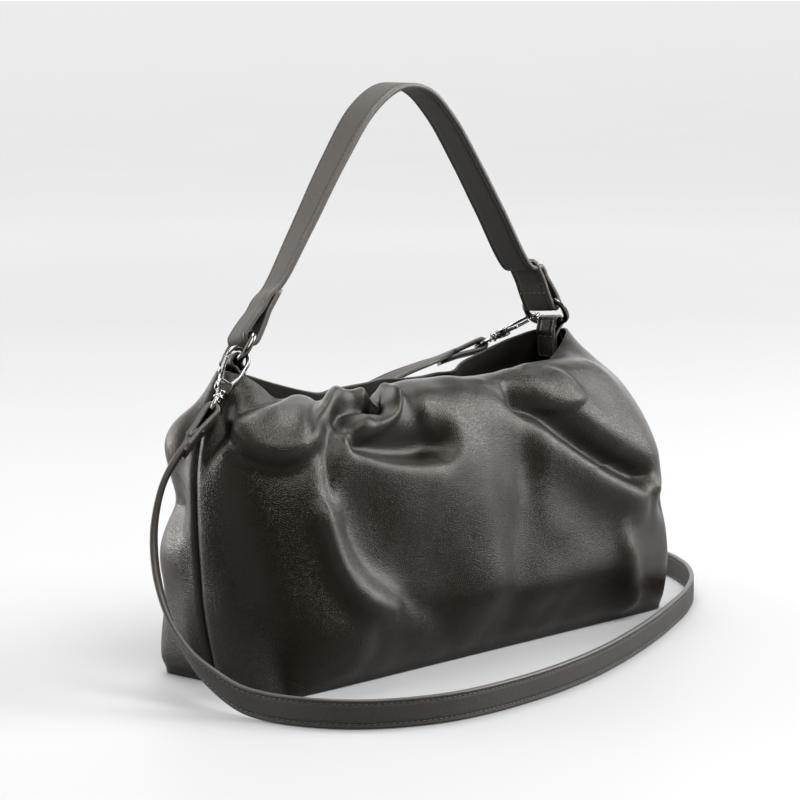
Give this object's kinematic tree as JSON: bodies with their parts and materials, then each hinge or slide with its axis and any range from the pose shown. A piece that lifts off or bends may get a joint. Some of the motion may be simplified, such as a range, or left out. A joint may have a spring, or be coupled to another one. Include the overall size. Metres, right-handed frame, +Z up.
{
  "type": "crossbody bag",
  "caption": "Soft slouchy crossbody bag with a gathered front, a short arched handle on oval rings and a long strap clipped on with trigger hooks.",
  "frame": {"origin": "centre of the base, on the surface that the bag stands on", "axes": "+X along the bag to its right seen from the front, -Y to its front, +Z up"},
  "size_m": [0.4604, 0.2383, 0.3131],
  "materials": {
    "body_leather": "smooth semi-gloss black leather with a fine grain",
    "strap_leather": "smooth stitched black leather strap",
    "gunmetal": "polished gunmetal",
    "nickel": "polished nickel plate"
  },
  "bodies": {
    "bag": {"front_panel": "body_leather", "back_panel": "body_leather", "base_panel": "body_leather", "ring_tab_left": "body_leather", "ring_tab_right": "body_leather", "ring_left": "gunmetal", "ring_right": "gunmetal", "handle": "strap_leather", "crossbody_strap": "strap_leather", "hook_left_body": "nickel", "hook_left_eye": "nickel", "hook_right_body": "nickel", "hook_right_eye": "nickel"},
    "left_gate": {"hook_left_gate": "nickel"},
    "right_gate": {"hook_right_gate": "nickel"}
  },
  "joints": [
    {"name": "gate_left", "type": "hinge", "parent": "bag", "child": "left_gate", "pos_m": [-0.15161, 0.01021, 0.15909], "axis": [0.2483, 0.9174, -0.311], "range_deg": [0, 15], "stiffness_Nm_per_rad": 0.02, "springref_deg": -11.46},
    {"name": "gate_right", "type": "hinge", "parent": "bag", "child": "right_gate", "pos_m": [0.11315, 0.03704, 0.16293], "axis": [-0.3353, 0.2806, 0.8993], "range_deg": [0, 15], "stiffness_Nm_per_rad": 0.02, "springref_deg": -11.46}
  ]
}
